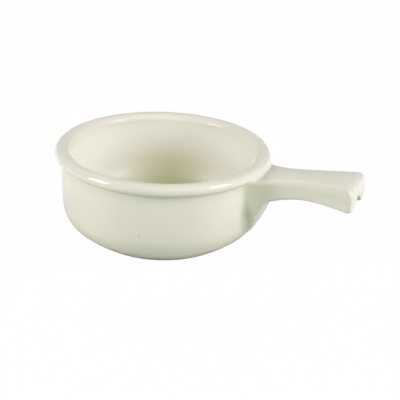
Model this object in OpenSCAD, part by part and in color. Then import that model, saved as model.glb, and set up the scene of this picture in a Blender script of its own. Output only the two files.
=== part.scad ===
// Handled onion soup crock: a round bowl with a rolled rim and one short stick
// handle, luted to the wall and glazed all over except for the foot ring.
//
// The bowl stands on the plane z = 0 with its axis on the z axis, and the handle
// points along +x. Sizes are in millimetres and are those of the glazed crock.

/* [Bowl] */
// Diameter over the rolled rim
rim_d = 122; // [114:0.5:136]
// Height from the table to the top of the rim
bowl_h = 54.2; // [50:0.1:62]
// Height of the rolled rim, seen in section
roll_h = 6.6; // [5:0.1:7.6]
// How far the rolled rim stands out past the wall
overhang = 3.8; // [2.8:0.1:4.6]
// Radius of the hollow tucked under the rolled rim
tuck_r = 1.6; // [0.8:0.1:2.4]
// Thickness of the wall
wall_t = 4.2; // [3.4:0.1:5]
// Distance below the rim's top at which the outer side stands upright
upright_drop = 12.2; // [9:0.1:18]
// Radius of the gentle curve down the side
side_r = 200; // [150:5:320]
// Radius of the turn between the side and the belly
turn_r = 18; // [14:0.5:22]
// Height at which the belly, a part of a ball, would meet the wall
belly_h = 15.5; // [13:0.1:18.5]

/* [Inside] */
// Thickness of the floor at its centre
floor_t = 5.4; // [4.4:0.1:7]
// Radius of the dished floor
floor_r = 260; // [180:10:400]
// Radius of the turn between the floor and the wall inside
inside_turn_r = 19; // [14:0.5:23]

/* [Foot] */
// How far the foot stands in from the wall
foot_in = 21.2; // [18:0.2:25]
// Width of the bare ring that the crock stands on
foot_w = 4.6; // [3:0.1:6]
// Depth of the hollow under the base
hollow_h = 1.6; // [1:0.1:2.4]

/* [Glaze and slip] */
// Thickness of the glaze
glaze_t = 0.4; // [0.25:0.05:0.6]
// Height of the band left bare above the table
bare_h = 1.2; // [0.8:0.1:2]
// Thickness of the slip that lutes the handle to the wall
slip_t = 0.8; // [0.6:0.1:1]

/* [Handle] */
// Length of the handle from the wall to its nose
handle_l = 57.6; // [50:0.5:70]
// Width of the handle at the wall
root_w = 35; // [28:0.2:38]
// Width of the handle at its waist
waist_w = 20.4; // [17:0.2:23]
// Width of the handle at its nose
tip_w = 31; // [25:0.2:34]
// Depth of the handle at the wall, above the bracket
root_t = 16; // [14:0.1:18]
// Depth of the handle at its waist
waist_t = 12.5; // [10.5:0.1:14]
// Depth of the handle at its nose
tip_t = 16.4; // [14:0.1:18]
// Distance of the handle's top below the rim, at the wall
root_drop = 4.8; // [4:0.1:6]
// Distance of the handle's top below the rim, at the nose
tip_drop = 0.8; // [0.3:0.1:2.5]
// Rise of the handle's top across its width
crown = 0.6; // [0.3:0.1:1]
// Radius of the handle's upper edges
upper_edge_r = 2.4; // [1.6:0.1:3]
// Radius of the handle's lower edges at the waist
lower_edge_r = 2.2; // [1.4:0.1:3]
// Radius of the handle's lower edges at the nose
toe_r = 3.4; // [2.4:0.1:4.4]
// Length of the rounded nose
nose_l = 4; // [2.6:0.1:6]
// How far each side is drawn in round the nose
nose_in = 2.4; // [1.4:0.1:3.4]
// How far the top comes down round the nose
nose_top_in = 4.4; // [2:0.1:5]
// How far the underside comes up round the nose
nose_low_in = 3; // [2:0.1:4.4]
// Height of the bracket that runs down the wall under the handle
bracket_h = 18.4; // [16:0.2:22]
// Length of the bracket along the handle
bracket_l = 12.8; // [9:0.1:14]
// Radius of the fillet where the handle meets the bowl
fillet_r = 2.4; // [1.5:0.1:3.5]
// Depth of the groove along the handle's underside
groove_d = 7; // [5:0.1:8]

/* [Hidden] */
$fn = 180;

clay_colour = [0.80, 0.76, 0.68];
slip_colour = [0.74, 0.69, 0.60];
glaze_colour = [0.88, 0.87, 0.81];
inside_colour = [0.91, 0.89, 0.84];

// Steps along the short and the long arcs of the bowl's outline
short_arc = 8;
long_arc = 12;
// Stations along the handle's root, its body and its nose
root_steps = 18;
body_steps = 11;
nose_steps = 5;
// Points round half of one handle section
top_steps = 4;
edge_steps = 4;
side_steps = 2;
toe_steps = 5;
groove_steps = 6;

// Places and centres of the bowl's outline, as [distance from the axis, height]
wall_r = rim_d / 2 - overhang;
roll_r = roll_h / 2;
foot_r = wall_r - foot_in;
upright_h = bowl_h - upright_drop;
floor_h = hollow_h + floor_t;
roll_c = [rim_d / 2 - roll_r, bowl_h - roll_r];
side_c = [wall_r - side_r, upright_h];
belly_c = [0, (pow(wall_r, 2) + pow(belly_h, 2) - pow(foot_r, 2)) / (2 * belly_h)];
belly_r = norm([foot_r, belly_c.y]);
floor_c = [0, floor_h + floor_r];
turn_c = meet(side_c, side_r - turn_r, belly_c, belly_r - turn_r, -1);
tuck_c = meet(roll_c, roll_r + tuck_r, side_c, side_r + tuck_r, 1);
lip_c = [side_c.x + leg(side_r - wall_t + roll_r, roll_c.y - side_c.y), roll_c.y];
inside_turn_c = meet(side_c, side_r - wall_t - inside_turn_r, floor_c, floor_r - inside_turn_r, -1);

// Handle: shares of its length, shares of its width and powers that shape its sweeps
waist_share = 0.42;
thin_share = 0.5;
rise_start_share = 0.08;
rise_end_share = 0.95;
groove_start_share = 0.16;
groove_full_share = 0.38;
cove_width_share = 0.86;
cove_height_share = 0.8;
edge_limit_share = 0.45;
groove_width_share = 0.74;
slope_step = 0.05;
root_sweep = 2.3;
tip_sweep = 1.6;
rise_sweep = 1.7;
thin_sweep = 2;
thick_sweep = 1.3;
groove_sweep = 0.6;

// The handle's sections start inside the wall, where the bowl cuts them off
nose_x = wall_r + handle_l;
bury_x = wall_r - overhang - tuck_r;
bracket_x = wall_r - tuck_r * 2;
body_x = bracket_x + bracket_l;
nose_start_x = nose_x - nose_l;

// Length of the other leg of a right triangle
function leg(long_side, short_side) = sqrt(pow(long_side, 2) - pow(short_side, 2));

// A point on a circle, an arc of points, and the angle from one point to another
function on_circle(c, r, a) = c + r * [cos(a), sin(a)];
function arc(c, r, from, to, steps) =
    [for (i = [0:steps]) on_circle(c, r, from + (to - from) * i / steps)];
function heading(a, b) = atan2(b.y - a.y, b.x - a.x);

// The point at distance r1 from c1 and r2 from c2, on the chosen side of the line
function meet(c1, r1, c2, r2, side) =
    let (gap = norm(c2 - c1), dir = (c2 - c1) / gap,
         run = (pow(gap, 2) + pow(r1, 2) - pow(r2, 2)) / (2 * gap),
         rise = side * leg(r1, run))
    c1 + run * dir + rise * [-dir.y, dir.x];

// The heading at which a circle round c crosses a height
function heading_at(c, r, height) = asin((height - c.y) / r);

function limit(value, low, high) = max(low, min(high, value));
function ease(share) = let (s = limit(share, 0, 1)) s * s * (3 - 2 * s);

// The outside of the bowl from a height above the table up to the top of the rim,
// at a depth below the glazed face: belly, turn, side, tuck and roll, all tangent
function outside_line(depth, from_h) = concat(
    arc(belly_c, belly_r - depth, heading_at(belly_c, belly_r - depth, from_h),
        heading(belly_c, turn_c), long_arc),
    arc(turn_c, turn_r - depth, heading(belly_c, turn_c), heading(side_c, turn_c), long_arc),
    arc(side_c, side_r - depth, heading(side_c, turn_c), heading(side_c, tuck_c), long_arc),
    arc(tuck_c, tuck_r + depth, heading(tuck_c, side_c) + 360, heading(tuck_c, roll_c), short_arc),
    arc(roll_c, roll_r - depth, heading(roll_c, tuck_c), 90, 2 * short_arc)
);

// The inside of the bowl from the top of the rim down to the middle of the floor
function inside_line(depth) = concat(
    arc(lip_c, roll_r - depth, 90, 360 + heading(lip_c, side_c), short_arc),
    arc(side_c, side_r - wall_t + depth, heading(side_c, lip_c),
        heading(side_c, inside_turn_c), long_arc),
    arc(inside_turn_c, inside_turn_r + depth, heading(side_c, inside_turn_c),
        heading(floor_c, inside_turn_c), long_arc),
    arc(floor_c, floor_r + depth, heading(floor_c, inside_turn_c), -90, short_arc)
);

function backwards(list) = [for (i = [len(list) - 1:-1:0]) list[i]];

// Radius of the bowl's glazed outside at a height, leaving out the tuck
function outside_r(height) =
    let (turn_top = on_circle(side_c, side_r, heading(side_c, turn_c)).y,
         turn_low = on_circle(turn_c, turn_r, heading(belly_c, turn_c)).y,
         roll_low = tuck_c.y + tuck_r)
    height > roll_low ? roll_c.x + leg(roll_r, limit(height - roll_c.y, -roll_r, roll_r))
    : height > turn_top ? side_c.x + leg(side_r, height - side_c.y)
    : height > turn_low ? turn_c.x + leg(turn_r, height - turn_c.y)
    : leg(belly_r, height - belly_c.y);

// Handle: how far along it a station lies, as a share of its length
function along(x) = (x - wall_r) / handle_l;

// Handle: half width, top and underside at a station, before the nose is rounded
function half_w(x) =
    let (u = along(x))
    waist_w / 2
    + (root_w - waist_w) / 2 * pow(max(0, 1 - u / waist_share), root_sweep)
    + (tip_w - waist_w) / 2 * pow(max(0, (u - waist_share) / (1 - waist_share)), tip_sweep);
function top_z(x) =
    let (s = limit((along(x) - rise_start_share) / (rise_end_share - rise_start_share), 0, 1))
    bowl_h - root_drop + (root_drop - tip_drop) * (1 - pow(1 - s, rise_sweep));
function depth_at(x) =
    let (u = along(x))
    waist_t
    + (root_t - waist_t) * pow(max(0, (thin_share - u) / thin_share), thin_sweep)
    + (tip_t - waist_t) * pow(max(0, (u - thin_share) / (1 - thin_share)), thick_sweep);
function bracket_at(x) =
    bracket_h * (1 + cos(180 * limit((x - bracket_x) / bracket_l, 0, 1))) / 2;
function low_z(x) = top_z(x) - depth_at(x) - bracket_at(x);

// Handle: depth of the groove in the underside, and radius of the lower edges
function groove_at(x) =
    groove_d * ease((along(x) - groove_start_share) / (groove_full_share - groove_start_share));
function low_edge_at(x) =
    lower_edge_r + (toe_r - lower_edge_r)
        * pow(max(0, (along(x) - waist_share) / (1 - waist_share)), tip_sweep);

// How far a point stands out from the bowl
function wall_gap(x, y, z) = norm([x, y]) - outside_r(z);

// How much the skin grows at a point near the bowl, outwards along [out_y, out_z], so
// that a fillet runs smoothly from the handle into the wall
function fillet(x, y, z, out_y, out_z) =
    let (start = wall_gap(x, y, z),
         lean = (wall_gap(x, y + fillet_r * out_y, z + fillet_r * out_z) - start) / fillet_r,
         reach = limit(fillet_r - start, 0, fillet_r * (1 + lean)),
         rest = pow(fillet_r, 2) + 2 * fillet_r * lean * reach - pow(reach, 2))
    (fillet_r + lean * reach - sqrt(max(0, rest))) / (1 + pow(lean, 2));

// One point of a section: a place, pushed out by the fillet and in by the depth
function placed(x, y, z, out_y, out_z, depth) =
    let (push = fillet(x, y, z, out_y, out_z) - depth)
    [x, y + push * out_y, z + push * out_z];

// The groove's section: its height at a share of the way in from its edge to its middle,
// and its slope there
function groove_rise(high, s) = high * pow(ease(s), groove_sweep);
function groove_slope(high, wide, s) =
    (groove_rise(high, min(1, s + slope_step)) - groove_rise(high, max(0, s - slope_step)))
        / (2 * slope_step * wide);

// Half of a section from the middle of the top round to the middle of the groove
function half_section(x, depth, nose) =
    let (pull = 1 - sqrt(1 - pow(nose, 2)),
         w = half_w(x) - nose_in * pull,
         top = top_z(x) - nose_top_in * pull,
         low = low_z(x) + nose_low_in * pull,
         h = top - low,
         cove = bracket_at(x) / bracket_h,
         edge = min(upper_edge_r, h * edge_limit_share),
         low_r = min(low_edge_at(x), h * edge_limit_share),
         cove_w = low_r + (w * cove_width_share - low_r) * pow(cove, 2),
         cove_h = low_r + (h * cove_height_share - low_r) * pow(cove, 2),
         groove_w = (w - cove_w) * groove_width_share,
         groove_h = max(0, low_z(x) + groove_at(x) - low),
         edge_top = top - crown)
    concat(
        [for (i = [0:top_steps])
            let (y = (w - edge) * i / top_steps)
            placed(x, y, top - crown * pow(y / (w - edge), 2), 0, 1, depth)],
        [for (i = [1:edge_steps])
            let (a = 90 - 90 * i / edge_steps)
            placed(x, w - edge + edge * cos(a), edge_top - edge + edge * sin(a),
                   cos(a), sin(a), depth)],
        [for (i = [1:side_steps])
            let (s = i / side_steps)
            placed(x, w, (edge_top - edge) * (1 - s) + (low + cove_h) * s, 1, 0, depth)],
        [for (i = [1:toe_steps])
            let (a = -90 * i / toe_steps)
            placed(x, w - cove_w + cove_w * cos(a), low + cove_h + cove_h * sin(a),
                   cos(a), sin(a), depth)],
        [for (i = [0:groove_steps])
            let (s = i / groove_steps, slope = -groove_slope(groove_h, groove_w, s),
                 long = norm([slope, 1]))
            placed(x, groove_w * (1 - s), low + groove_rise(groove_h, s),
                   slope / long, -1 / long, depth)]
    );

// A whole section: one half, then the other half mirrored and run backwards
function section(x, depth, nose) =
    let (half = half_section(x, depth, nose), last = len(half) - 1)
    concat(half, [for (i = [last - 1:-1:1]) [half[i].x, -half[i].y, half[i].z]]);

// All the sections of the handle at a depth below its glazed face
function sections(depth) = concat(
    [for (i = [0:root_steps - 1])
        section(bury_x + (body_x - bury_x) * i / root_steps, depth, 0)],
    [for (i = [0:body_steps - 1])
        section(body_x + (nose_start_x - body_x) * i / body_steps, depth, 0)],
    [for (i = [0:nose_steps])
        let (nose = sin(90 * i / nose_steps))
        section(nose_start_x + (nose_l - depth) * nose, depth, nose)]
);

function flat(lists) = [for (list = lists) for (item = list) item];

// Triangles between neighbouring sections of a given number of points
function side_faces(count, around, first) =
    [for (i = [0:count - 2], k = [0:around - 1])
        let (a = first + i * around + k, b = first + i * around + (k + 1) % around)
        each [[a, b, b + around], [a, b + around, a + around]]];
function ring(around, first) = [for (k = [0:around - 1]) first + k];

// The handle's shape at a depth below its glazed face
module handle_solid(depth) {
    loops = sections(depth);
    around = len(loops[0]);
    count = len(loops);
    polyhedron(
        points = flat(loops),
        faces = concat(side_faces(count, around, 0),
                       [backwards(ring(around, 0)), ring(around, (count - 1) * around)]),
        convexity = 6);
}

// The skin between two depths of the handle, open towards the bowl
module handle_skin(outer_depth, inner_depth) {
    outer = sections(outer_depth);
    inner = sections(inner_depth);
    around = len(outer[0]);
    count = len(outer);
    start = count * around;
    polyhedron(
        points = concat(flat(outer), flat(inner)),
        faces = concat(
            side_faces(count, around, 0),
            [ring(around, start - around)],
            [for (f = side_faces(count, around, start)) backwards(f)],
            [backwards(ring(around, 2 * start - around))],
            [for (k = [0:around - 1])
                let (a = k, b = (k + 1) % around)
                each [[a, a + start, b + start], [a, b + start, b]]]),
        convexity = 10);
}

// Everything inside the bowl's outside face, at a depth below the glazed face
module bowl_block(depth) {
    rotate_extrude()
        polygon(concat([[0, 0]], outside_line(depth, 0), [[0, bowl_h - depth]]));
}

// Fired clay body of the bowl: floor, wall, rolled rim and foot ring in one piece
module bowl() {
    hollow_r = foot_r - foot_w;
    color(clay_colour)
        difference() {
            rotate_extrude()
                polygon(concat([[0, 0]], outside_line(glaze_t, 0), inside_line(glaze_t)));
            cylinder(h = hollow_h + glaze_t, r = hollow_r - hollow_h);
            rotate_extrude()
                polygon(concat([[0, 0]], arc([hollow_r - hollow_h, 0], hollow_h, 0, 90, short_arc),
                               [[0, hollow_h]]));
        }
}

// Fired clay handle with its bracket, seated on the slip
module handle() {
    color(clay_colour)
        difference() {
            handle_solid(glaze_t);
            bowl_block(glaze_t - slip_t);
        }
}

// Thin bed of slip that joins the handle to the wall
module luting_slip() {
    color(slip_colour)
        difference() {
            intersection() {
                handle_solid(glaze_t);
                bowl_block(glaze_t - slip_t);
            }
            bowl_block(glaze_t);
        }
}

// Glaze poured inside the bowl, up to the top of the rim
module inside_glaze() {
    color(inside_colour)
        rotate_extrude()
            polygon(concat(inside_line(glaze_t), backwards(inside_line(0))));
}

// Glaze over the rolled rim and down the outside, wiped off above the table
module outside_glaze() {
    color(glaze_colour)
        difference() {
            rotate_extrude()
                polygon(concat(
                    outside_line(0, bare_h),
                    [on_circle(lip_c, roll_r, 90), on_circle(lip_c, roll_r - glaze_t, 90)],
                    backwards(outside_line(glaze_t, bare_h))));
            handle_solid(0);
        }
}

// Glaze over the handle, its groove and its bracket
module handle_glaze() {
    color(glaze_colour)
        difference() {
            handle_skin(0, glaze_t);
            bowl_block(glaze_t);
        }
}

// Glaze in the hollow under the base, inside the bare foot ring
module base_glaze() {
    color(glaze_colour)
        translate([0, 0, hollow_h])
            cylinder(h = glaze_t, r = foot_r - foot_w - hollow_h);
}

bowl();
handle();
luting_slip();
inside_glaze();
outside_glaze();
handle_glaze();
base_glaze();
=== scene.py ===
"""The looks of a handled onion soup crock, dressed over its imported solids.

The crock stands at the origin with its axis on Z and its handle along +X. Lengths in this
script are metres; the crock's own sizes are written in millimetres times MM.
"""

import math

import bpy
import numpy as np
from mathutils import Matrix, Vector


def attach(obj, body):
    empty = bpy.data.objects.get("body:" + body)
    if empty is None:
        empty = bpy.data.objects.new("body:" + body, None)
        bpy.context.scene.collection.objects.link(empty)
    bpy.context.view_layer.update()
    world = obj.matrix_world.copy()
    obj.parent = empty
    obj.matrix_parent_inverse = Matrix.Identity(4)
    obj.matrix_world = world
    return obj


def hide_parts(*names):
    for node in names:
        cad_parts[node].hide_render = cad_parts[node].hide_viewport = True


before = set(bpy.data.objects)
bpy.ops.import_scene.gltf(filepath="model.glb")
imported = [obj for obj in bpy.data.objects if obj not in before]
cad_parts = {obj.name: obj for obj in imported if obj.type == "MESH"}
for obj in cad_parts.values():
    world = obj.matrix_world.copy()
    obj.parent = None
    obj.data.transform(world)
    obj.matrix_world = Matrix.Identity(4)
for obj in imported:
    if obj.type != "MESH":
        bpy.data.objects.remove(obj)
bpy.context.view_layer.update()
MM = 0.001

# Sizes of the glazed crock, as in the part's source
CROCK = {
    "Rim diameter": 122 * MM,
    "Bowl height": 54.2 * MM,
    "Roll height": 6.6 * MM,
    "Overhang": 3.8 * MM,
    "Tuck radius": 1.6 * MM,
    "Wall thickness": 4.2 * MM,
    "Upright drop": 12.2 * MM,
    "Side radius": 200 * MM,
    "Turn radius": 18 * MM,
    "Belly height": 15.5 * MM,
    "Floor thickness": 5.4 * MM,
    "Floor radius": 260 * MM,
    "Inside turn radius": 19 * MM,
    "Foot inset": 21.2 * MM,
    "Foot width": 4.6 * MM,
    "Hollow depth": 1.6 * MM,
    "Glaze thickness": 0.4 * MM,
    "Bare band": 1.2 * MM,
}

# How finely the turned pieces are drawn: steps along each arc, points along a straight
# stroke, and steps around the axis
STEPS = {"belly": 24, "turn": 24, "side": 24, "tuck": 12, "roll": 28, "lip": 18,
         "inner side": 24, "inside turn": 28, "floor": 20, "edge": 8}
LINE_POINTS = 7
AROUND, BASE_AROUND = 288, 96
MERGE_GAP = 0.004 * MM
SHARP_ANGLE = math.radians(40)

# Headings are in radians, from the way outwards round to the way up
UP = math.radians(90)
ROUND = 4 * UP


def placed(name, data):
    """A new object in the scene."""
    made = bpy.data.objects.new(name, data)
    bpy.context.scene.collection.objects.link(made)
    return made


# Values that go through nodes, written as plain sums


class Term:
    """A value in a node tree. Sums written with it add the tree's Math nodes."""

    def __init__(self, desk, socket):
        self.desk = desk
        self.socket = socket

    def sum(self, operation, *others):
        return self.desk.sum(operation, self, *others)

    def __add__(self, other):
        return self.sum("ADD", other)

    __radd__ = __add__

    def __mul__(self, other):
        return self.sum("MULTIPLY", other)

    __rmul__ = __mul__

    def __sub__(self, other):
        return self.sum("SUBTRACT", other)

    def __rsub__(self, other):
        return self.desk.sum("SUBTRACT", other, self)

    def __truediv__(self, other):
        return self.sum("DIVIDE", other)

    def __rtruediv__(self, other):
        return self.desk.sum("DIVIDE", other, self)

    def __pow__(self, other):
        return self.sum("POWER", other)

    def __rpow__(self, other):
        return self.desk.sum("POWER", other, self)

    def __neg__(self):
        return self * -1


class Desk:
    """A node tree under construction."""

    def __init__(self, tree):
        self.tree = tree

    def node(self, kind, settings=None, sockets=None, out=0):
        """Adds a node: its settings first, then the values or links of its sockets."""
        made = self.tree.nodes.new(kind)
        for name, value in (settings or {}).items():
            setattr(made, name, value)
        for name, value in (sockets or {}).items():
            for item in value if isinstance(value, list) else [value]:
                self.feed(made.inputs[name], item)
        return Term(self, made.outputs[out]) if made.outputs else None

    def feed(self, socket, value):
        if isinstance(value, Term):
            self.tree.links.new(value.socket, socket)
        elif socket.type == "RGBA" and len(value) == 3:
            socket.default_value = (*value, 1)
        else:
            socket.default_value = value

    def sum(self, operation, *values):
        return self.node("ShaderNodeMath", {"operation": operation}, dict(enumerate(values)))

    def point(self, x, y, z):
        return self.node("ShaderNodeCombineXYZ", None, {"X": x, "Y": y, "Z": z})


def root(value):
    return value.sum("SQRT") if isinstance(value, Term) else math.sqrt(value)


def angle_of(x, z):
    """The heading of a direction."""
    return x.desk.sum("ARCTAN2", z, x) if isinstance(x, Term) else math.atan2(z, x)


def angle_at(share):
    """The heading at which a circle reaches a share of its radius above its centre."""
    return share.sum("ARCSINE") if isinstance(share, Term) else math.asin(share)


# The bowl's outline, a chain of tangent arcs. Points are (distance from the axis, height)


def leg(long_side, short_side):
    return root(long_side * long_side - short_side * short_side)


def heading(a, b):
    return angle_of(b[0] - a[0], b[1] - a[1])


def meet(c1, r1, c2, r2, side):
    """The point at distance r1 from c1 and r2 from c2, on the chosen side of their line."""
    dx, dz = c2[0] - c1[0], c2[1] - c1[1]
    gap = root(dx * dx + dz * dz)
    run = (gap * gap + r1 * r1 - r2 * r2) / (2 * gap)
    rise = side * leg(r1, run)
    return (c1[0] + (run * dx - rise * dz) / gap, c1[1] + (run * dz + rise * dx) / gap)


class Outline:
    """Centres and radii of the crock's arcs, from sizes that are numbers or terms."""

    def __init__(self, size):
        rim_r = size["Rim diameter"] / 2
        self.nought = 0 * rim_r
        self.bowl_h = size["Bowl height"]
        self.glaze_t = size["Glaze thickness"]
        self.bare_h = size["Bare band"]
        self.hollow_h = size["Hollow depth"]
        self.wall_r = rim_r - size["Overhang"]
        self.foot_r = self.wall_r - size["Foot inset"]
        self.hollow_r = self.foot_r - size["Foot width"]
        self.roll_r = size["Roll height"] / 2
        self.tuck_r = size["Tuck radius"]
        self.side_r = size["Side radius"]
        self.inner_side_r = self.side_r - size["Wall thickness"]
        self.turn_r = size["Turn radius"]
        self.floor_r = size["Floor radius"]
        self.inside_turn_r = size["Inside turn radius"]
        self.roll_c = (rim_r - self.roll_r, self.bowl_h - self.roll_r)
        self.side_c = (self.wall_r - self.side_r, self.bowl_h - size["Upright drop"])
        # the belly's arc is centred on the axis. It runs through the foot's edge at the table
        # and reaches the wall's radius at the belly's height
        wall_r, foot_r, belly_h = self.wall_r, self.foot_r, size["Belly height"]
        centre_h = (wall_r * wall_r + belly_h * belly_h - foot_r * foot_r) / (2 * belly_h)
        self.belly_c = (self.nought, centre_h)
        self.belly_r = root(foot_r * foot_r + centre_h * centre_h)
        self.floor_c = (self.nought, self.hollow_h + size["Floor thickness"] + self.floor_r)
        self.turn_c = meet(self.side_c, self.side_r - self.turn_r,
                           self.belly_c, self.belly_r - self.turn_r, -1)
        self.tuck_c = meet(self.roll_c, self.roll_r + self.tuck_r,
                           self.side_c, self.side_r + self.tuck_r, 1)
        self.lip_c = (self.side_c[0] + leg(self.inner_side_r + self.roll_r,
                                           self.roll_c[1] - self.side_c[1]), self.roll_c[1])
        self.inside_turn_c = meet(self.side_c, self.inner_side_r - self.inside_turn_r,
                                  self.floor_c, self.floor_r - self.inside_turn_r, -1)

    def outside(self, depth, from_h):
        """Strokes from a height above the table up to the top of the rim. A stroke is an
        arc's centre, radius, first and last heading, and count of steps."""
        belly_r = self.belly_r - depth
        return [
            (self.belly_c, belly_r, angle_at((from_h - self.belly_c[1]) / belly_r),
             heading(self.belly_c, self.turn_c), STEPS["belly"]),
            (self.turn_c, self.turn_r - depth, heading(self.belly_c, self.turn_c),
             heading(self.side_c, self.turn_c), STEPS["turn"]),
            (self.side_c, self.side_r - depth, heading(self.side_c, self.turn_c),
             heading(self.side_c, self.tuck_c), STEPS["side"]),
            (self.tuck_c, self.tuck_r + depth, heading(self.tuck_c, self.side_c) + ROUND,
             heading(self.tuck_c, self.roll_c), STEPS["tuck"]),
            (self.roll_c, self.roll_r - depth, heading(self.roll_c, self.tuck_c),
             UP, STEPS["roll"]),
        ]

    def inside(self, depth):
        """Strokes from the top of the rim down to the middle of the floor."""
        return [
            (self.lip_c, self.roll_r - depth, UP,
             heading(self.lip_c, self.side_c) + ROUND, STEPS["lip"]),
            (self.side_c, self.inner_side_r + depth, heading(self.side_c, self.lip_c),
             heading(self.side_c, self.inside_turn_c), STEPS["inner side"]),
            (self.inside_turn_c, self.inside_turn_r + depth,
             heading(self.side_c, self.inside_turn_c),
             heading(self.floor_c, self.inside_turn_c), STEPS["inside turn"]),
            (self.floor_c, self.floor_r + depth, heading(self.floor_c, self.inside_turn_c),
             -UP, STEPS["floor"]),
        ]

    def radius_at(self, height):
        """Radius of the glazed outside at each of some heights."""
        roll_low = self.roll_c[1] + self.roll_r * math.sin(heading(self.roll_c, self.tuck_c))
        tuck_low = self.side_c[1] + self.side_r * math.sin(heading(self.side_c, self.tuck_c))
        turn_top = self.side_c[1] + self.side_r * math.sin(heading(self.side_c, self.turn_c))
        turn_low = self.turn_c[1] + self.turn_r * math.sin(heading(self.belly_c, self.turn_c))

        def across(centre, radius, side=1):
            rise = np.clip(height - centre[1], -radius, radius)
            return centre[0] + side * np.sqrt(radius * radius - rise * rise)

        return np.select(
            [height > roll_low, height > tuck_low, height > turn_top, height > turn_low],
            [across(self.roll_c, self.roll_r), across(self.tuck_c, self.tuck_r, -1),
             across(self.side_c, self.side_r), across(self.turn_c, self.turn_r)],
            across(self.belly_c, self.belly_r))


def at(stroke, end):
    """The first or the last point of a stroke: end is 0 or 1."""
    centre, radius, first, last, _ = stroke
    turn = (first, last)[end]
    if isinstance(turn, Term):
        return (centre[0] + radius * turn.sum("COSINE"), centre[1] + radius * turn.sum("SINE"))
    return (centre[0] + radius * math.cos(turn), centre[1] + radius * math.sin(turn))


def backwards(strokes):
    return [(c, r, last, first, steps) for c, r, first, last, steps in reversed(strokes)]


# Turned pieces: Geometry Nodes draw a closed outline and turn it about the axis


def clay_outline(crock):
    """Floor, wall, rim and foot ring in one, with the hollow under the base."""
    outer = crock.outside(crock.glaze_t, crock.nought)
    inner = crock.inside(crock.glaze_t)
    edge_x, top = crock.hollow_r - crock.hollow_h, crock.hollow_h + crock.glaze_t
    edge = ((edge_x, crock.nought), crock.hollow_h, UP, 0.0, STEPS["edge"])
    return [
        ((crock.nought, top), (edge_x, top)),
        ((edge_x, top), at(edge, 0)),
        edge,
        (at(edge, 1), at(outer[0], 0)),
        *outer,
        (at(outer[-1], 1), at(inner[0], 0)),
        *inner,
    ]


def outside_outline(crock):
    """Glaze over the rolled rim and down the outside, with a rounded lower edge."""
    outer = crock.outside(0, crock.bare_h)
    under = crock.outside(crock.glaze_t, crock.bare_h)
    bead_r = crock.glaze_t / 2
    middle = crock.outside(bead_r, crock.bare_h)[0]
    bead = (at(middle, 0), bead_r, middle[2] - 2 * UP, middle[2], STEPS["edge"])
    crest = (crock.lip_c[0], crock.bowl_h)
    crest_low = (crock.lip_c[0], crock.bowl_h - crock.glaze_t)
    return [bead, (at(bead, 1), at(outer[0], 0)), *outer,
            (at(outer[-1], 1), crest), (crest, crest_low), (crest_low, at(under[-1], 1)),
            *backwards(under), (at(under[0], 0), at(bead, 0))]


def inside_outline(crock):
    """Glaze from the top of the rim down to the middle of the floor."""
    inner, under = crock.inside(0), crock.inside(crock.glaze_t)
    return [*backwards(under), (at(under[0], 0), at(inner[0], 0)), *inner]


def base_outline(crock):
    """Glaze under the base: a flat disc on the ceiling of the hollow."""
    flat_r = crock.hollow_r - crock.hollow_h
    low, top = crock.hollow_h, crock.hollow_h + crock.glaze_t
    return [((crock.nought, low), (flat_r, low)), ((flat_r, low), (flat_r, top)),
            ((flat_r, top), (crock.nought, top))]


def turned_tree(name, outline):
    """A tree that draws an outline from named sizes and turns it into a closed piece."""
    tree = bpy.data.node_groups.new(name, "GeometryNodeTree")
    desk = Desk(tree)
    tree.interface.new_socket("Geometry", in_out="OUTPUT", socket_type="NodeSocketGeometry")
    for label, value in CROCK.items():
        socket = tree.interface.new_socket(label, in_out="INPUT", socket_type="NodeSocketFloat")
        socket.default_value = value
    tree.interface.new_socket("Steps around", in_out="INPUT", socket_type="NodeSocketInt")
    tree.interface.new_socket("Finish", in_out="INPUT", socket_type="NodeSocketMaterial")
    given = tree.nodes.new("NodeGroupInput")
    size = {socket.name: Term(desk, socket) for socket in given.outputs if socket.name}
    drawn = []
    for stroke in outline(Outline(size)):
        if len(stroke) == 2:
            (x1, z1), (x2, z2) = stroke
            line = desk.node("GeometryNodeCurvePrimitiveLine", {"mode": "POINTS"},
                             {"Start": desk.point(x1, z1, 0.0), "End": desk.point(x2, z2, 0.0)})
            drawn.append(desk.node("GeometryNodeResampleCurve", {"mode": "COUNT"},
                                   {"Curve": line, "Count": LINE_POINTS}))
            continue
        (x, z), radius, first, last, steps = stroke
        bend = desk.node("GeometryNodeCurveArc", {"mode": "RADIUS"},
                         {"Resolution": steps + 1, "Radius": radius,
                          "Start Angle": first, "Sweep Angle": last - first})
        drawn.append(desk.node("GeometryNodeTransform", None,
                               {"Geometry": bend, "Translation": desk.point(x, z, 0.0)}))
    outline_curve = desk.node("GeometryNodeJoinGeometry", None, {"Geometry": drawn})
    upright = desk.node("GeometryNodeTransform", None,
                        {"Geometry": outline_curve, "Scale": (1.0, -1.0, 1.0),
                         "Translation": desk.point(-(size["Rim diameter"] / 2), 0.0, 0.0)})
    wheel = desk.node("GeometryNodeCurvePrimitiveCircle", {"mode": "RADIUS"},
                      {"Resolution": size["Steps around"], "Radius": size["Rim diameter"] / 2})
    turned = desk.node("GeometryNodeCurveToMesh", None,
                       {"Curve": wheel, "Profile Curve": upright, "Fill Caps": False})
    closed = desk.node("GeometryNodeMergeByDistance", None,
                       {"Geometry": turned, "Distance": MERGE_GAP})
    whole = desk.node("GeometryNodeRealizeInstances", None, {"Geometry": closed})
    smooth = desk.node("GeometryNodeSetShadeSmooth", None, {"Geometry": whole})
    dressed = desk.node("GeometryNodeSetMaterial", None,
                        {"Geometry": smooth, "Material": size["Finish"]})
    desk.feed(tree.nodes.new("NodeGroupOutput").inputs[0], dressed)
    return tree


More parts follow.
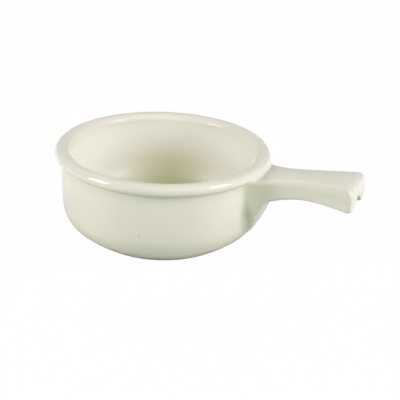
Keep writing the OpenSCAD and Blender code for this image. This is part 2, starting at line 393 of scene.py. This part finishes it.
def turned_piece(name, outline, finish, around=AROUND):
    """Builds one turned piece and bakes it to a plain mesh."""
    tree = turned_tree(name + "_form", outline)
    blank = placed(name, bpy.data.meshes.new(name))
    form = blank.modifiers.new("form", "NODES")
    form.node_group = tree
    given = {**CROCK, "Steps around": around, "Finish": finish}
    for item in tree.interface.items_tree:
        if item.in_out == "INPUT":
            form[item.identifier] = given[item.name]
    worked_out = blank.evaluated_get(bpy.context.evaluated_depsgraph_get())
    shape = bpy.data.meshes.new_from_object(worked_out)
    blank.modifiers.remove(form)
    shape.name = name
    blank.data = shape
    face_outwards(shape)
    shape.set_sharp_from_angle(angle=SHARP_ANGLE)
    return blank


def face_outwards(shape):
    """Turns a closed mesh the right way round, by the sign of its volume."""
    corners = np.array([v.co for v in shape.vertices])
    shape.calc_loop_triangles()
    sides = np.array([t.vertices for t in shape.loop_triangles])
    a, b, c = (corners[sides[:, k]] for k in range(3))
    if np.einsum("ij,ij->", a, np.cross(b, c)) < 0:
        shape.flip_normals()


# The handle: half sections lofted from the wall to the nose

HANDLE = {
    "length": 57.6 * MM,
    "root width": 35 * MM,
    "waist width": 20.4 * MM,
    "tip width": 31 * MM,
    "root depth": 16 * MM,
    "waist depth": 12.5 * MM,
    "tip depth": 16.4 * MM,
    "root drop": 4.8 * MM,
    "tip drop": 0.8 * MM,
    "crown": 0.6 * MM,
    "upper edge": 2.4 * MM,
    "lower edge": 2.2 * MM,
    "toe": 3.4 * MM,
    "nose length": 4 * MM,
    "nose side inset": 2.4 * MM,
    "nose top inset": 4.4 * MM,
    "nose low inset": 3 * MM,
    "nose swell": 0.25 * MM,
    "bracket height": 18.4 * MM,
    "bracket length": 12.8 * MM,
    "fillet": 2.4 * MM,
    "groove depth": 7 * MM,
    # what the bowl hides: the loft's start, its skirt round the fillet, and its closed end
    "hidden start": 2.2 * MM,
    "hidden sink": 0.3 * MM,
    "skirt": 1.6 * MM,
    "skirt sink": 0.04 * MM,
    "cap sink": 1.6 * MM,
}
WAIST_SHARE, THIN_SHARE = 0.42, 0.5
RISE_START_SHARE, RISE_END_SHARE = 0.08, 0.95
GROOVE_START_SHARE, GROOVE_FULL_SHARE, GROOVE_WIDTH_SHARE = 0.16, 0.38, 0.74
COVE_WIDTH_SHARE, COVE_HEIGHT_SHARE, EDGE_LIMIT_SHARE = 0.86, 0.8, 0.45
ROOT_SWEEP, TIP_SWEEP, RISE_SWEEP, THIN_SWEEP, THICK_SWEEP = 2.3, 1.6, 1.7, 2, 1.3
GROOVE_SWEEP, SLOPE_STEP = 0.6, 0.02

# How finely the handle is drawn, and how often the search for its fillet halves a gap
TOP_STEPS, EDGE_STEPS, SIDE_STEPS, TOE_STEPS = 10, 9, 8, 12
GROOVE_STEPS = TOP_STEPS + EDGE_STEPS + SIDE_STEPS + TOE_STEPS
ROOT_STATIONS, BODY_STATIONS, NOSE_STATIONS, CAP_ROWS = 90, 70, 22, 7
HALVINGS = 28

crock = Outline(CROCK)
bracket_x = crock.wall_r - 2 * crock.tuck_r
nose_x = crock.wall_r + HANDLE["length"]
nose_start_x = nose_x - HANDLE["nose length"]


def held(share):
    return min(max(share, 0), 1)


def ease(share):
    s = held(share)
    return s * s * (3 - 2 * s)


def half_width(u):
    w, waist = HANDLE["waist width"], WAIST_SHARE
    return (w + (HANDLE["root width"] - w) * max(0, 1 - u / waist) ** ROOT_SWEEP
            + (HANDLE["tip width"] - w) * max(0, (u - waist) / (1 - waist)) ** TIP_SWEEP) / 2


def top_height(u):
    s = held((u - RISE_START_SHARE) / (RISE_END_SHARE - RISE_START_SHARE))
    rise = HANDLE["root drop"] - HANDLE["tip drop"]
    return crock.bowl_h - HANDLE["root drop"] + rise * (1 - (1 - s) ** RISE_SWEEP)


def body_depth(u):
    d, thin = HANDLE["waist depth"], THIN_SHARE
    return (d + (HANDLE["root depth"] - d) * max(0, (thin - u) / thin) ** THIN_SWEEP
            + (HANDLE["tip depth"] - d) * max(0, (u - thin) / (1 - thin)) ** THICK_SWEEP)


def groove_rise(s):
    """Share of the groove's depth at a share of the way in from its edge to its middle."""
    return ease(s) ** GROOVE_SWEEP


def half_section(x, nose):
    """Half a section as rows of (y, z, outward y, outward z), from the middle of the top
    round the side and the toe to the middle of the groove. Nose runs from 0 where the nose's
    rounding starts to 1 at its end face."""
    u = (x - crock.wall_r) / HANDLE["length"]
    cove = (1 + math.cos(math.pi * held((x - bracket_x) / HANDLE["bracket length"]))) / 2
    bare_low = top_height(u) - body_depth(u) - HANDLE["bracket height"] * cove
    pull = 1 - math.sqrt(1 - nose * nose)
    w = half_width(u) - HANDLE["nose side inset"] * pull
    top = top_height(u) - HANDLE["nose top inset"] * pull
    low = bare_low + HANDLE["nose low inset"] * pull
    h = top - low
    edge = min(HANDLE["upper edge"], h * EDGE_LIMIT_SHARE)
    spread = max(0, (u - WAIST_SHARE) / (1 - WAIST_SHARE)) ** TIP_SWEEP
    low_r = min(HANDLE["lower edge"] + (HANDLE["toe"] - HANDLE["lower edge"]) * spread,
                h * EDGE_LIMIT_SHARE)
    toe_w = low_r + (w * COVE_WIDTH_SHARE - low_r) * cove ** 2
    toe_h = low_r + (h * COVE_HEIGHT_SHARE - low_r) * cove ** 2
    run_in = (u - GROOVE_START_SHARE) / (GROOVE_FULL_SHARE - GROOVE_START_SHARE)
    groove = HANDLE["groove depth"] * ease(run_in)
    groove_w = (w - toe_w) * GROOVE_WIDTH_SHARE
    groove_h = max(0, bare_low + groove - low)
    crown = HANDLE["crown"]
    rows = []
    for i in range(TOP_STEPS + 1):
        y = (w - edge) * i / TOP_STEPS
        rows.append((y, top - crown * (y / (w - edge)) ** 2, 0, 1))
    for i in range(1, EDGE_STEPS + 1):
        a = math.radians(90 - 90 * i / EDGE_STEPS)
        rows.append((w - edge + edge * math.cos(a), top - crown - edge + edge * math.sin(a),
                     math.cos(a), math.sin(a)))
    for i in range(1, SIDE_STEPS + 1):
        s = i / SIDE_STEPS
        rows.append((w, (top - crown - edge) * (1 - s) + (low + toe_h) * s, 1, 0))
    for i in range(1, TOE_STEPS + 1):
        a = math.radians(-90 * i / TOE_STEPS)
        rows.append((w - toe_w + toe_w * math.cos(a), low + toe_h + toe_h * math.sin(a),
                     math.cos(a), math.sin(a)))
    for i in range(GROOVE_STEPS + 1):
        s = i / GROOVE_STEPS
        rise = groove_rise(min(1, s + SLOPE_STEP)) - groove_rise(max(0, s - SLOPE_STEP))
        slope = -groove_h * rise / (2 * SLOPE_STEP * groove_w)
        long = math.hypot(slope, 1)
        rows.append((groove_w * (1 - s), low + groove_h * groove_rise(s),
                     slope / long, -1 / long))
    return rows


def grown(x, y, z, out_y, out_z):
    """How far the skin stands out near the bowl, so that a fillet runs into the wall. Where
    a section is already inside the wall, the skin follows it just under the bowl's glaze."""
    r = HANDLE["fillet"]

    def gap(push):
        return np.hypot(x, y + push * out_y) - crock.radius_at(z + push * out_z)

    def crossing(test, low, high):
        for _ in range(HALVINGS):
            middle = (low + high) / 2
            over = test(middle) > 0
            low, high = np.where(over, middle, low), np.where(over, high, middle)
        return high

    none = np.zeros_like(y + x)
    on_fillet = crossing(lambda p: (r - p) ** 2 + np.clip(r - gap(p), 0, 2 * r) ** 2 - r * r,
                         none, none + r)
    under_wall = crossing(lambda p: -gap(p) - HANDLE["skirt sink"],
                          none + r, none + r + HANDLE["skirt"])
    clear = gap(none) >= r
    return np.where(clear, 0, np.where(gap(none + r) < 0, under_wall, on_fillet))


def handle_rings():
    """Closed rings of points, from inside the wall to the nose."""
    start_x = bracket_x - HANDLE["hidden start"]
    bracket_end_x = bracket_x + HANDLE["bracket length"]
    along_root = np.linspace(start_x, bracket_end_x, ROOT_STATIONS, endpoint=False)
    along_body = np.linspace(bracket_end_x, nose_start_x, BODY_STATIONS, endpoint=False)
    stations = [(x, 0) for x in (*along_root, *along_body)]
    for turn in np.linspace(0, 1, NOSE_STATIONS):
        nose = math.sin(UP * turn)
        stations.append((nose_start_x + HANDLE["nose length"] * nose, nose))
    half = np.array([half_section(x, nose) for x, nose in stations])
    xs = np.array([x for x, _ in stations])[:, None]
    y, z, out_y, out_z = (half[:, :, k] for k in range(4))
    push = grown(xs, y, z, out_y, out_z)
    y, z = y + push * out_y, z + push * out_z
    # what would reach further into the bowl is moved out to lie just inside its wall
    far = np.hypot(xs, y)
    skin = np.minimum(crock.radius_at(z), crock.wall_r) - HANDLE["hidden sink"]
    scale = np.where(far < skin, skin / far, 1)
    scale[0] = (skin[0] - HANDLE["hidden sink"]) / far[0]
    x, y = xs * scale, y * scale
    right = np.stack([x, y, z], axis=2)
    left = right[:, -2:0:-1] * (1, -1, 1)
    return np.concatenate([right, left], axis=1)


def capped(points, faces, around, first, swell, sink):
    """Closes a ring with rows that run from its outer line to its groove. The nose swells a
    little, and the cap in the wall follows the wall, sunk into it."""
    steps = GROOVE_STEPS
    # the outer line from one toe over the top to the other, and the groove line beneath it
    outer = [first + k % around for k in range(-steps, steps + 1)]
    groove = [first + (2 * steps + 1 - k if k >= 0 else around - 2 * steps - 1 - k)
              for k in range(-steps, steps + 1)]
    added = []
    grid = [outer]
    for row in range(1, CAP_ROWS):
        t = row / CAP_ROWS
        line = []
        for a, b in zip(outer, groove):
            place = points[a] * (1 - t) + points[b] * t
            place = place + (swell * 16 * t * t * (1 - t) ** 2, 0, 0)
            if sink:
                sunk_r = min(crock.radius_at(place[2]), crock.wall_r) - sink
                place[:2] *= sunk_r / math.hypot(place[0], place[1])
            line.append(len(points) + len(added))
            added.append(place)
        grid.append(line)
    grid.append(groove)
    points = np.concatenate([points, np.array(added)])
    for upper, lower in zip(grid, grid[1:]):
        for k in range(len(upper) - 1):
            face = (upper[k], upper[k + 1], lower[k + 1], lower[k])
            faces.append(face if first else face[::-1])
    return points, faces


def handle_piece(name, finish):
    """The glazed handle: one closed skin from inside the wall to the nose."""
    rings = handle_rings()
    count, around = rings.shape[:2]
    points = rings.reshape(-1, 3)
    faces = []
    for i in range(count - 1):
        for k in range(around):
            a, b = i * around + k, i * around + (k + 1) % around
            faces.append((a, b, b + around, a + around))
    last = (count - 1) * around
    points, faces = capped(points, faces, around, 0, 0, HANDLE["cap sink"])
    points, faces = capped(points, faces, around, last, HANDLE["nose swell"], 0)
    shape = bpy.data.meshes.new(name)
    shape.from_pydata([tuple(p) for p in points], [], faces)
    shape.materials.append(finish)
    shape.validate()
    face_outwards(shape)
    for face in shape.polygons:
        face.use_smooth = True
    return placed(name, shape)


# Finishes


def cleared(made):
    """The emptied node tree of a new material or world."""
    made.use_nodes = True
    made.node_tree.nodes.clear()
    return Desk(made.node_tree)


def new_finish(name):
    """A new material, with its emptied tree and the place of each point on the piece."""
    made = bpy.data.materials.new(name)
    desk = cleared(made)
    return made, desk, desk.node("ShaderNodeTexCoord", out="Object")


# A Mix node has the same names for its numbers and its colours, so these are socket numbers
MIX_SHARE, MIX_LOW, MIX_HIGH, MIX_OUT = 0, 6, 7, 2


def colour_mix(desk, share, low, high):
    return desk.node("ShaderNodeMix", {"data_type": "RGBA"},
                     {MIX_SHARE: share, MIX_LOW: low, MIX_HIGH: high}, out=MIX_OUT)


def linear(red, green, blue):
    """A colour as screens show it, 0 to 255, turned into the amounts that a shader takes."""
    return tuple((c / 255 / 12.92) if c <= 10 else ((c / 255 + 0.055) / 1.055) ** 2.4
                 for c in (red, green, blue))


def between(desk, value, low, high, to_low=0.0, to_high=1.0):
    """Eases a value from one range into another and stays inside it."""
    return desk.node("ShaderNodeMapRange", {"interpolation_type": "SMOOTHSTEP"},
                     {"Value": value, "From Min": low, "From Max": high,
                      "To Min": to_low, "To Max": to_high})


WHITE = (1.0, 1.0, 1.0)
IVORY = linear(222, 219, 206)
# the darker tone that painted shade outside, the nose and the random mottle move the glaze towards
IVORY_DARK = linear(193, 196, 171)
IVORY_THIN = linear(228, 224, 213)
IVORY_WARM = linear(216, 210, 205)
CREAM = linear(229, 226, 217)
# straw: painted shade low inside, and the tone of the floor and of the mottle inside
STRAW = linear(203, 202, 158)
SPECK = linear(150, 132, 96)
CLAY = linear(214, 204, 182)
CLAY_DARK = linear(186, 172, 146)

# Noise patterns: scale, detail and roughness
PATTERNS = {
    "cloud": (34.0, 3.0, 0.5),
    "drift": (11.0, 2.0, 0.5),
    "peel": (420.0, 1.0, 0.5),
    "swell": (46.0, 1.0, 0.5),
    "grain": (900.0, 4.0, 0.65),
    "patch": (60.0, 3.0, 0.5),
}
DRIFT_SHARE, PEEL_SHARE = 0.6, 0.05

# The values of a pattern over which a look changes and, for roughness, from what to what
CHANGES = {
    "shade": (0.36, 0.64),
    "sheen": (0.3, 0.7, 0.04, 0.07),
    "toasted": (0.35, 0.65),
    "sand": (0.56, 0.7),
    "dryness": (0.3, 0.7, 0.75, 0.92),
    "speck": (0.10, 0.04),
}

# Where a look starts to change and where it has changed, in millimetres: heights above the
# table, radii from the axis, places along the handle, sides left and right of it, and the
# distance from the lone speck
ZONES = {
    "back shade height": (43, 13),
    "back shade radius": (16, 40),
    "floor height": (12.5, 8.5),
    "cream height": (52.5, 46),
    "satin height": (51.5, 44),
    "crest height": (52.6, 54.2),
    "crest radius": (50, 56),
    "rim from below": (39.5, 46.2),
    "rim from above": (49, 46.6),
    "foot height": (10, 1.5),
    "foot radius": (30, 36),
    "corner start": (52, 55),
    "corner end": (78, 60),
    "corner inner side": (7, 12),
    "corner outer side": (20.8, 17.4),
    "corner height": (49.5, 45),
    "corner fade": (24, 33),
    "nose start": (110.5, 114),
    "nose height": (42, 49),
    "groove start": (80, 100),
    "groove end": (114.9, 114.6),
    "groove side": (9.3, 8.5),
    "groove height": (44.8, 44),
    "lone speck": (0.9, 0.3),
    "floor under the crock": (36, 120),
}

# How strongly each change shows
STRENGTH = {
    "shade": 0.25, "shade inside": 0.2, "straw": 0.95, "straw floor": 0.35, "satin": 0.20,
    "rim": 0.3, "foot": 0.25, "corner_shade": 1.3, "corner low": 0.55, "nose": 0.5, "groove": 1.25,
    "most": 1.25, "dark": 0.8, "thin": 0.2, "warm": 0.9, "speck": 0.35, "sand": 0.5,
}
# Painted shade inside lies this way from the axis, towards the back, and falls off to the sides by
# this power
BACK_SHADE_WAY, BACK_SHADE_POWER = (-0.225, 0.974), 9
SPECK_SCALE, SPECK_CHANCE = 132.0, 0.006
LONE_SPECK = (7.7 * MM, -55.8 * MM, 23.1 * MM)
GLAZE_BUMP, GLAZE_BUMP_DEPTH = 0.16, 0.35 * MM
CLAY_BUMP, CLAY_BUMP_DEPTH = 0.5, 0.1 * MM
GLAZE_IOR, CLAY_IOR = 1.52, 1.45
INSIDE_GLINT, OUTSIDE_GLINT = 0.25, 0.5


def pattern(desk, place, name):
    scale, detail, rough = PATTERNS[name]
    return desk.node("ShaderNodeTexNoise", {"noise_dimensions": "3D"},
                     {"Vector": place, "Scale": scale, "Detail": detail, "Roughness": rough})


def zone(desk, value, name):
    """How far a place lies inside one of the zones, from 0 to 1."""
    start, full = ZONES[name]
    return between(desk, value, start * MM, full * MM)


def inside_look(desk, place, away, shade):
    """Tone and satin inside: painted shade in a straw tone low on the back of the wall, a weaker
    straw tone over the floor, and ivory only at the rim."""
    x, y, z = place
    # painted shade: a straw tone low on the back of the wall inside; the floor takes a weaker
    # straw tone
    side = ((x * BACK_SHADE_WAY[0] + y * BACK_SHADE_WAY[1]) / away).sum("MAXIMUM", 0.0)
    run = zone(desk, z, "back shade height") * zone(desk, away, "back shade radius") * side ** BACK_SHADE_POWER
    painted_shade_and_tone = run.sum("MAXIMUM", zone(desk, z, "floor height") * STRENGTH["straw floor"])
    body = colour_mix(desk, zone(desk, z, "cream height"), IVORY, CREAM)
    straw = painted_shade_and_tone * STRENGTH["straw"] + shade * STRENGTH["shade inside"]
    tone = colour_mix(desk, straw, body, STRAW)
    return tone, zone(desk, z, "satin height") * STRENGTH["satin"]


def outside_look(desk, place, away, shade):
    """Tone outside, where nothing is satin: the glaze runs off the top of the rim, which is
    lighter; painted shade darkens it under the rim, at the foot, beside the handle's root and in
    the groove; and the nose is darker low down and warmer above."""
    x, y, z = place
    beside = y.sum("ABSOLUTE")
    crest = zone(desk, z, "crest height") * zone(desk, away, "crest radius")
    # painted shade in a band just under the rolled rim
    rim = zone(desk, z, "rim from below") * zone(desk, z, "rim from above")
    # painted shade, darker towards the bottom of the belly
    foot = zone(desk, z, "foot height") * zone(desk, away, "foot radius")
    # painted shade in the pocket beside the handle's root, against the wall, weaker lower down
    low = STRENGTH["corner low"]
    corner_shade = (zone(desk, x, "corner start") * zone(desk, x, "corner end")
              * zone(desk, beside, "corner inner side") * zone(desk, beside, "corner outer side")
              * zone(desk, z, "corner height") * (zone(desk, z, "corner fade") * (1 - low) + low))
    nose = zone(desk, x, "nose start")
    # painted shade in the groove under the handle, from partway along to the nose
    groove = (zone(desk, x, "groove start") * zone(desk, x, "groove end")
              * zone(desk, beside, "groove side") * zone(desk, z, "groove height"))
    # painted shade under the rim, at the foot, beside the root and in the groove, with the nose's
    # darker tone and the random mottle
    painted_shade_and_tone = rim * STRENGTH["rim"] + foot * STRENGTH["foot"] + corner_shade * STRENGTH["corner_shade"]
    painted_shade_and_tone = painted_shade_and_tone + nose * STRENGTH["nose"] + groove * STRENGTH["groove"] + shade
    painted_shade_and_tone = painted_shade_and_tone.sum("MINIMUM", STRENGTH["most"])
    warm = nose * zone(desk, z, "nose height") * STRENGTH["warm"] * (1.0 - groove)
    tone = colour_mix(desk, painted_shade_and_tone * STRENGTH["dark"], IVORY, IVORY_DARK)
    tone = colour_mix(desk, crest * STRENGTH["thin"], tone, IVORY_THIN)
    return colour_mix(desk, warm, tone, IVORY_WARM), 0.0


def specks(desk, place):
    """Rare iron specks, and the one on the wall that stands by itself."""
    reach, chance = (desk.node("ShaderNodeTexVoronoi", {"feature": "F1"},
                               {"Vector": place, "Scale": SPECK_SCALE}, out=name)
                     for name in ("Distance", "Color"))
    picked = desk.node("ShaderNodeSeparateColor", None, {0: chance}).sum("LESS_THAN", SPECK_CHANCE)
    lone = desk.node("ShaderNodeVectorMath", {"operation": "DISTANCE"},
                     {0: place, 1: LONE_SPECK}, out="Value")
    scattered = picked * between(desk, reach, *CHANGES["speck"])
    return scattered.sum("MAXIMUM", zone(desk, lone, "lone speck"))


def glaze(name, look, glint):
    """Glossy glaze with rare iron specks. The look gives its tone and how satin it is."""
    made, desk, place = new_finish(name)
    split = desk.tree.nodes.new("ShaderNodeSeparateXYZ")
    desk.feed(split.inputs[0], place)
    x, y, z = (Term(desk, socket) for socket in split.outputs)
    away = (x * x + y * y).sum("SQRT")
    cloud, drift = pattern(desk, place, "cloud"), pattern(desk, place, "drift")
    blend = drift * DRIFT_SHARE + cloud * (1 - DRIFT_SHARE)
    shade = between(desk, blend, *CHANGES["shade"]) * STRENGTH["shade"]
    tone, satin = look(desk, (x, y, z), away, shade)
    speckled = colour_mix(desk, specks(desk, place) * STRENGTH["speck"], tone, SPECK)
    peel, swell = pattern(desk, place, "peel"), pattern(desk, place, "swell")
    bump = desk.node("ShaderNodeBump", None, {
        "Strength": GLAZE_BUMP, "Distance": GLAZE_BUMP_DEPTH,
        "Height": peel * PEEL_SHARE + swell * (1 - PEEL_SHARE)})
    shader = desk.node("ShaderNodeBsdfPrincipled", None, {
        "Base Color": speckled, "Roughness": between(desk, cloud, *CHANGES["sheen"]) + satin,
        "IOR": GLAZE_IOR, "Specular IOR Level": glint, "Normal": bump})
    desk.node("ShaderNodeOutputMaterial", None, {"Surface": shader})
    return made


def bare_clay(name):
    """Fired clay without glaze: dry, sandy and a little toasted."""
    made, desk, place = new_finish(name)
    grain, patch = pattern(desk, place, "grain"), pattern(desk, place, "patch")
    tone = colour_mix(desk, between(desk, patch, *CHANGES["toasted"]), CLAY, CLAY_DARK)
    sand = between(desk, grain, *CHANGES["sand"]) * STRENGTH["sand"]
    bump = desk.node("ShaderNodeBump", None,
                     {"Strength": CLAY_BUMP, "Distance": CLAY_BUMP_DEPTH, "Height": grain})
    shader = desk.node("ShaderNodeBsdfPrincipled", None, {
        "Base Color": colour_mix(desk, sand, tone, SPECK),
        "Roughness": between(desk, grain, *CHANGES["dryness"]),
        "IOR": CLAY_IOR, "Normal": bump})
    desk.node("ShaderNodeOutputMaterial", None, {"Surface": shader})
    return made


# Build


glaze_finish = glaze("ivory_glaze", outside_look, OUTSIDE_GLINT)
inside_finish = glaze("cream_glaze", inside_look, INSIDE_GLINT)
clay_finish = bare_clay("fired_clay")

clay_bowl = turned_piece("clay_bowl", clay_outline, clay_finish)
inside_coat = turned_piece("inside_coat", inside_outline, inside_finish)
outside_coat = turned_piece("outside_coat", outside_outline, glaze_finish)
base_coat = turned_piece("base_coat", base_outline, glaze_finish, BASE_AROUND)
handle_coat = handle_piece("handle_coat", glaze_finish)

for piece, node, slot in ((clay_bowl, "bowl", "clay"),
                          (inside_coat, "inside_glaze", "glaze"),
                          (outside_coat, "outside_glaze", "glaze"),
                          (base_coat, "base_glaze", "glaze"),
                          (handle_coat, "handle_glaze", "glaze")):
    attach(piece, "root")
    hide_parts(node)

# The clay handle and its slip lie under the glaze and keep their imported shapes
for node in ("handle", "luting_slip"):
    for held_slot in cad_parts[node].material_slots:
        held_slot.material = clay_finish


# Stage, light and camera

FLOOR_HALF = 3.0
FLOOR_COLOUR = (0.63, 0.65, 0.59)
# How white the camera sees the floor, and how white the gloss sees the floor and the air
FLOOR_WHITE, FLOOR_GLOSS, AIR_GLOSS = 0.985, 0.93, 0.45
AIR_STRENGTH, WHITE_STRENGTH = 0.01, 1.0

# Lamps: name, azimuth, elevation and power, and for a mirrored one also width and height.
# Azimuth 0 stands at -Y, and both angles are in degrees
CLOTHS = (
    ("left_cloth", -50, 42, 1.8), ("left_front_cloth", -20, 32, 1.9),
    ("front_cloth", 20, 30, 1.0), ("right_cloth", 85, 40, 3.2),
    ("right_back_cloth", 110, 28, 2.6), ("back_cloth", 220, 28, 4.6),
)
CLOTH_SIZE = (0.6, 0.5)
MIRRORED_LAMPS = (("left_lamp", -50, 20, 6.3, 0.38, 0.54), ("right_lamp", 81, 22, 6.8, 0.44, 0.54))
LAMP_REACH = 1.1
LAMP_AIM = Vector((0.02, 0, 0.04))


def rays(desk):
    """Whether a ray comes from the camera, from gloss or through something clear."""
    path = desk.tree.nodes.new("ShaderNodeLightPath")
    return [Term(desk, path.outputs[name])
            for name in ("Is Camera Ray", "Is Glossy Ray", "Is Transmission Ray")]


def floor_piece():
    """A wide pale floor, nearly white to the eye, that throws little light back at the crock.
    The gloss sees it darker where the crock stands over it."""
    side = FLOOR_HALF
    shape = bpy.data.meshes.new("floor")
    shape.from_pydata([(-side, -side, 0), (side, -side, 0), (side, side, 0), (-side, side, 0)],
                      [], [(0, 1, 2, 3)])
    made, desk, place = new_finish("floor_paper")
    away = desk.node("ShaderNodeVectorMath", {"operation": "LENGTH"}, {0: place}, out="Value")
    camera_ray, gloss_ray, clear_ray = rays(desk)
    open_floor = zone(desk, away, "floor under the crock")
    seen = (camera_ray + clear_ray) * FLOOR_WHITE + gloss_ray * open_floor * FLOOR_GLOSS
    paper = desk.node("ShaderNodeBsdfDiffuse", None, {"Color": FLOOR_COLOUR})
    white = desk.node("ShaderNodeEmission", None, {"Color": WHITE, "Strength": WHITE_STRENGTH})
    both = desk.node("ShaderNodeMixShader", None, {0: seen, 1: paper, 2: white})
    desk.node("ShaderNodeOutputMaterial", None, {"Surface": both})
    shape.materials.append(made)
    placed("floor", shape)


def softbox(name, azimuth, elevation, power, wide, high, mirrored):
    """A rectangular lamp that faces the crock. Only a mirrored lamp shows in the glaze: the
    others light it through a cloth that leaves no reflection."""
    a, e = math.radians(azimuth), math.radians(elevation)
    way = Vector((math.sin(a) * math.cos(e), -math.cos(a) * math.cos(e), math.sin(e)))
    lamp = bpy.data.lights.new(name, "AREA")
    lamp.shape = "RECTANGLE"
    lamp.size, lamp.size_y, lamp.energy = wide, high, power
    holder = placed(name, lamp)
    holder.location = LAMP_AIM + way * LAMP_REACH
    holder.rotation_euler = way.to_track_quat("Z", "Y").to_euler()
    holder.visible_glossy = mirrored


def studio_air():
    """Even light from all round, white where the camera or a gloss sees it."""
    world = bpy.data.worlds.new("studio")
    desk = cleared(world)
    camera_ray, gloss_ray, clear_ray = rays(desk)
    soft = desk.node("ShaderNodeBackground", None, {"Color": WHITE, "Strength": AIR_STRENGTH})
    white = desk.node("ShaderNodeBackground", None, {"Color": WHITE, "Strength": WHITE_STRENGTH})
    both = desk.node("ShaderNodeMixShader", None,
                     {0: camera_ray + clear_ray + gloss_ray * AIR_GLOSS, 1: soft, 2: white})
    desk.node("ShaderNodeOutputWorld", None, {"Surface": both})
    bpy.context.scene.world = world


def camera():
    """The photograph's viewpoint, found from the rim, the wall, the foot and the handle."""
    place = Vector((0.320239, -0.881625, 0.413498))
    right = Vector((0.94196943, 0.33364810, 0.03704765))
    up = Vector((-0.16080242, 0.35157996, 0.92224407))
    back = right.cross(up)
    eye = bpy.data.cameras.new("camera")
    eye.lens, eye.sensor_width = 159.705, 36
    eye.clip_start, eye.clip_end = 0.05, 20
    holder = placed("camera", eye)
    turned = Matrix((right, up, back)).transposed().to_4x4()
    holder.matrix_world = Matrix.Translation(place) @ turned
    bpy.context.scene.camera = holder


floor_piece()
for name, azimuth, elevation, power in CLOTHS:
    softbox(name, azimuth, elevation, power, *CLOTH_SIZE, False)
for lamp in MIRRORED_LAMPS:
    softbox(*lamp, True)
studio_air()
camera()
bpy.context.scene.view_settings.view_transform = "Standard"
